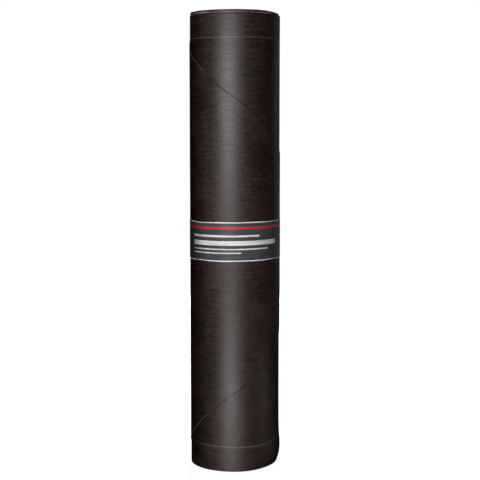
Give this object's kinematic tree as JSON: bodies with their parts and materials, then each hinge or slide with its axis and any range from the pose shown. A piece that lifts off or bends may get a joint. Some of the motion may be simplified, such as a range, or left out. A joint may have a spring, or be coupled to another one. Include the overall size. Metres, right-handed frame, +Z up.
{
  "type": "roll of roofing felt",
  "caption": "Tight roll of asphalt roofing felt standing on its end, with an open bore and a paper label band holding its loose pointed end.",
  "frame": {"origin": "centre of the roll's foot, on the floor that it stands on", "axes": "+Z up along the roll's axis, -Y towards the front of the label, +X to the right seen from the front"},
  "size_m": [0.1832, 0.1835, 0.9196],
  "materials": {
    "felt": "asphalt-saturated felt, dark brown-black, slightly waxy sheen",
    "label": "charcoal coated paper with pale edge lines"
  },
  "bodies": {
    "root": {"felt_roll": "felt", "label_band": "label"}
  },
  "joints": []
}
